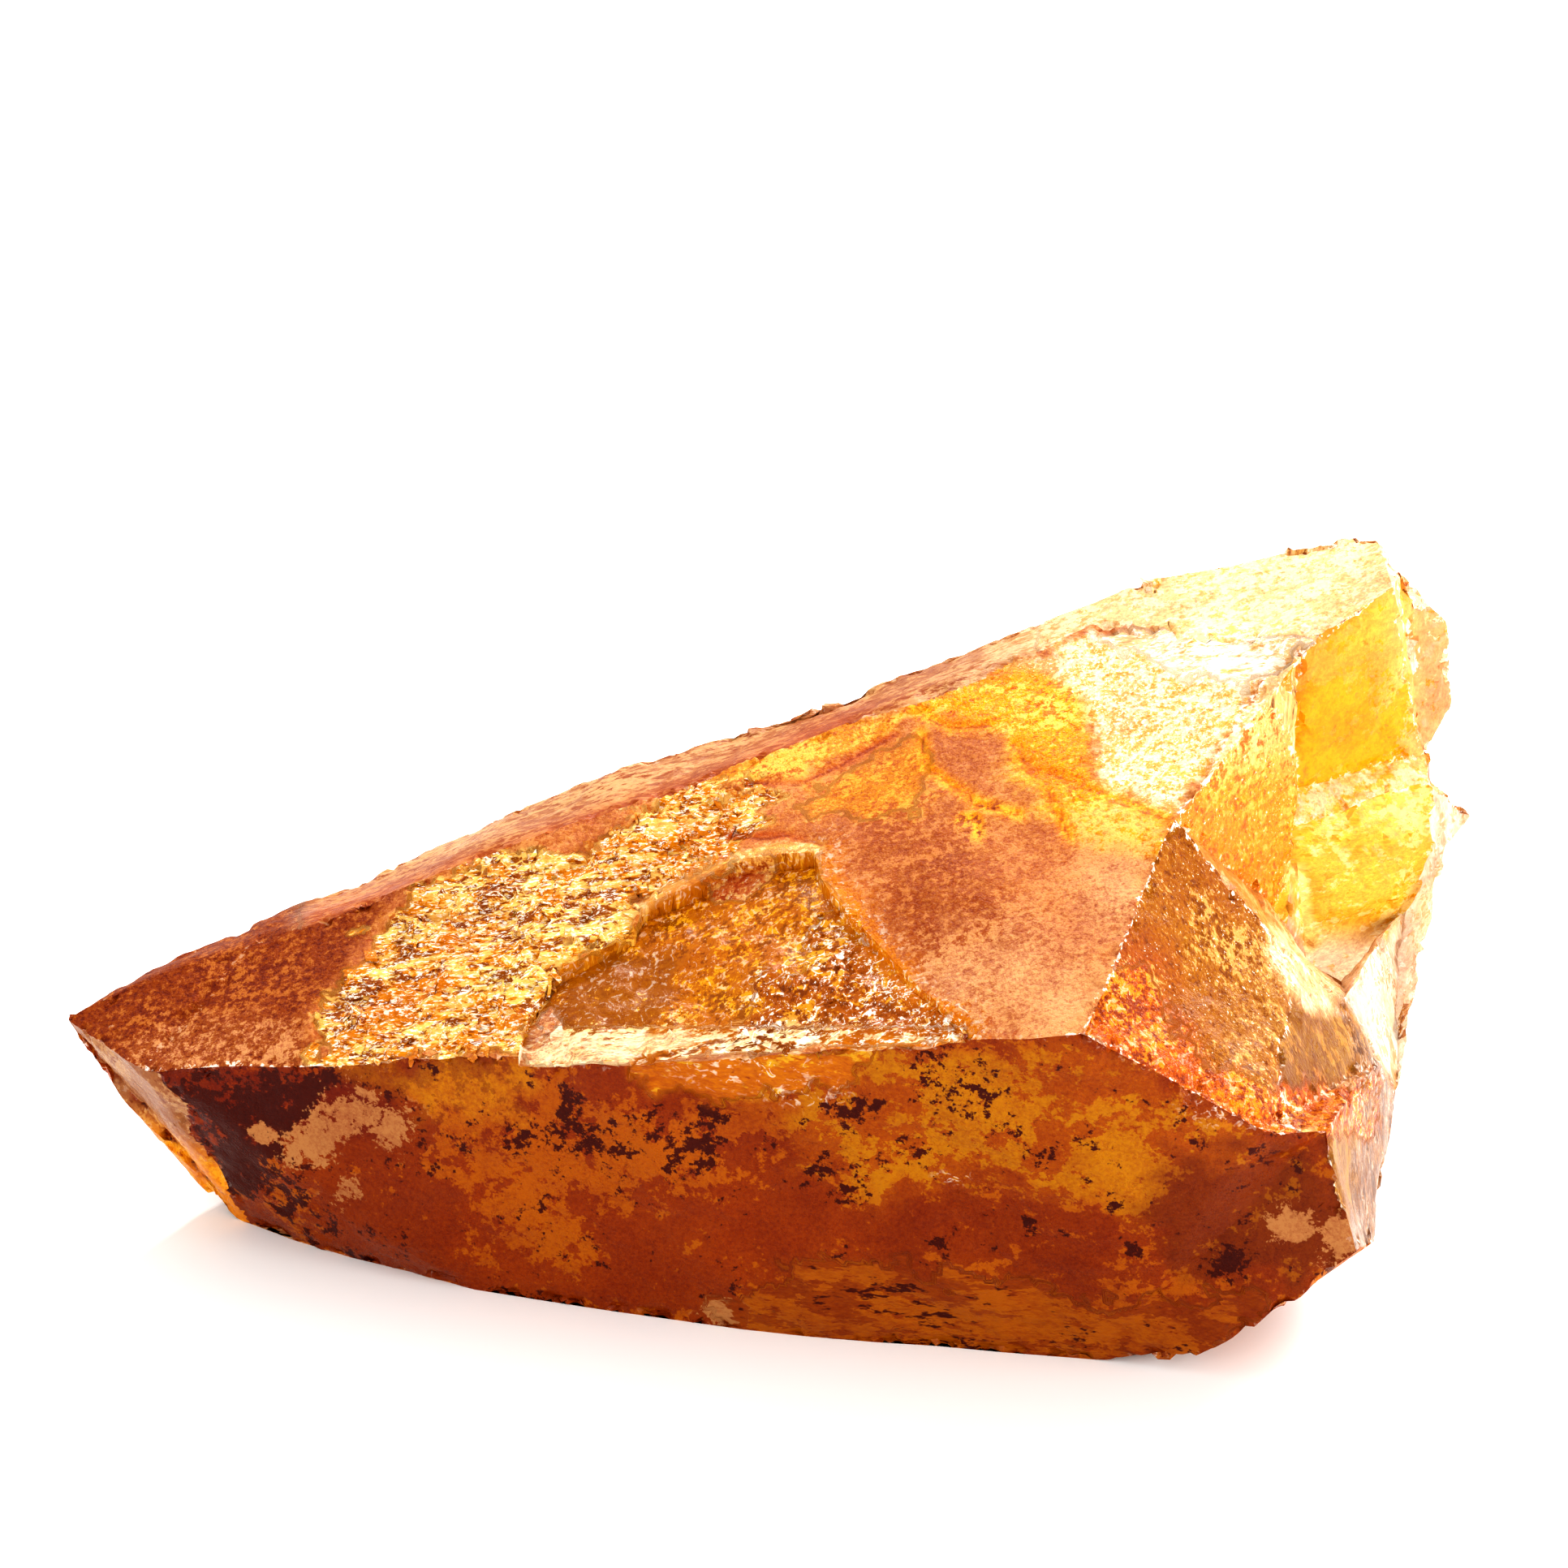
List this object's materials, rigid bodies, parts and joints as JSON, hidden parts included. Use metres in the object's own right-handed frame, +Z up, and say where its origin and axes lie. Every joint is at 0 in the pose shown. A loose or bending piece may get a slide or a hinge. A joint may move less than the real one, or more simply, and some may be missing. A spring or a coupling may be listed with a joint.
{
  "type": "honey calcite point",
  "caption": "Tapering crystal lying on a flat underside: long flat faces run to a sharp tip, a flaked hollow lies on the upper face, and the wide end is broken into stepped notches.",
  "frame": {"origin": "middle of the crystal's bounding box, on its flat underside", "axes": "+X along the crystal from its tip to its broken end, +Z up, -Y towards the front face that leans out over its foot"},
  "size_m": [0.1058, 0.0554, 0.0485],
  "materials": {
    "honey_calcite": "natural, translucent amber, satin to glossy with a grainy crust in places"
  },
  "bodies": {
    "root": {"calcite_point": "honey_calcite"}
  },
  "joints": []
}
